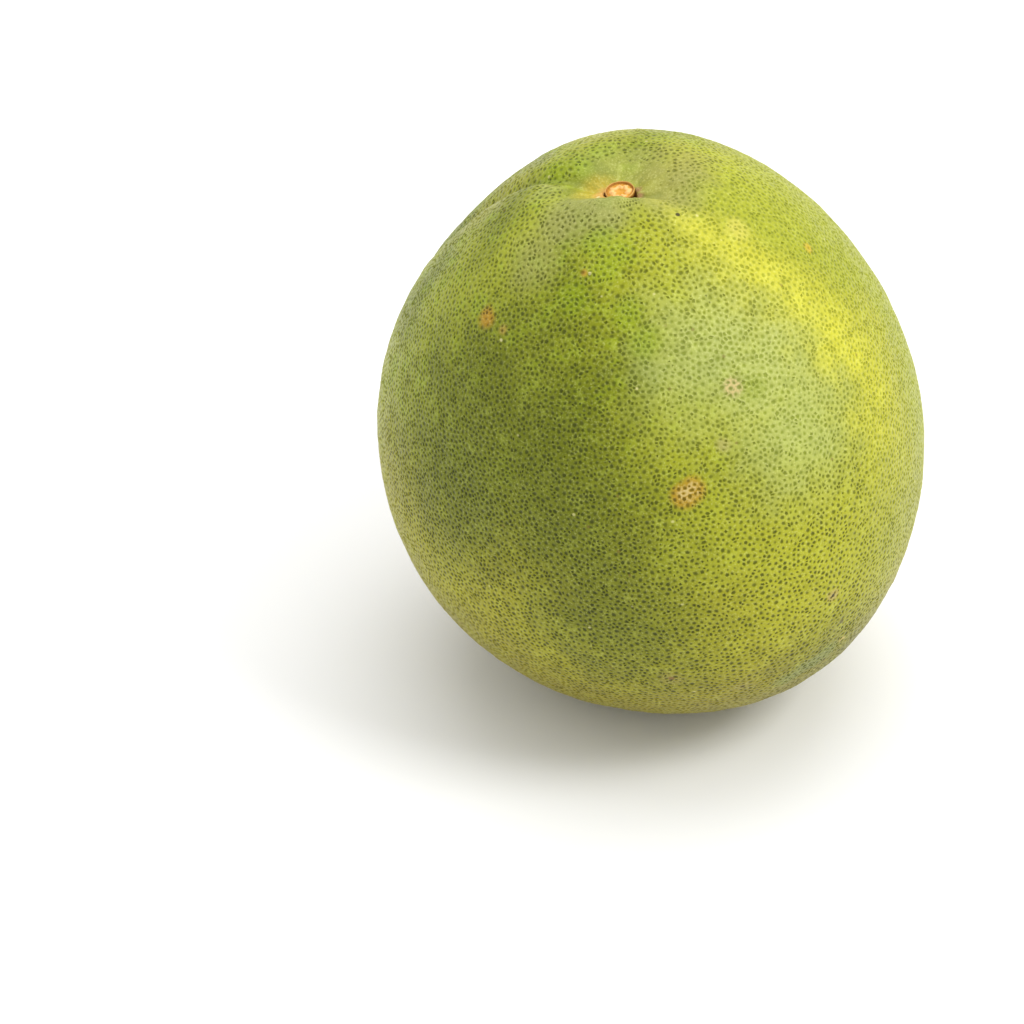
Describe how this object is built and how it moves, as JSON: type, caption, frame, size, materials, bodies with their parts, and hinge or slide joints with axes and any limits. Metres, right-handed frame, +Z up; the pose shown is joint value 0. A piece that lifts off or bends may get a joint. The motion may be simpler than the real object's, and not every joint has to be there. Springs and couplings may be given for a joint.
{
  "type": "pomelo",
  "caption": "Whole green pomelo, lying on a small flat spot, with a hollow at the stem end and the dry stem button sitting in it.",
  "frame": {"origin": "under the middle of the fruit's box, on the surface that it rests on", "axes": "+Z up, roughly along the stem axis; the stem end leans a little towards -Y and -X"},
  "size_m": [0.153, 0.156, 0.1651],
  "materials": {
    "rind": "waxy green-yellow rind, dotted all over with small darker oil glands",
    "button": "dry, woody, tan-orange"
  },
  "bodies": {
    "root": {"fruit": "rind", "stem_button": "button"}
  },
  "joints": []
}
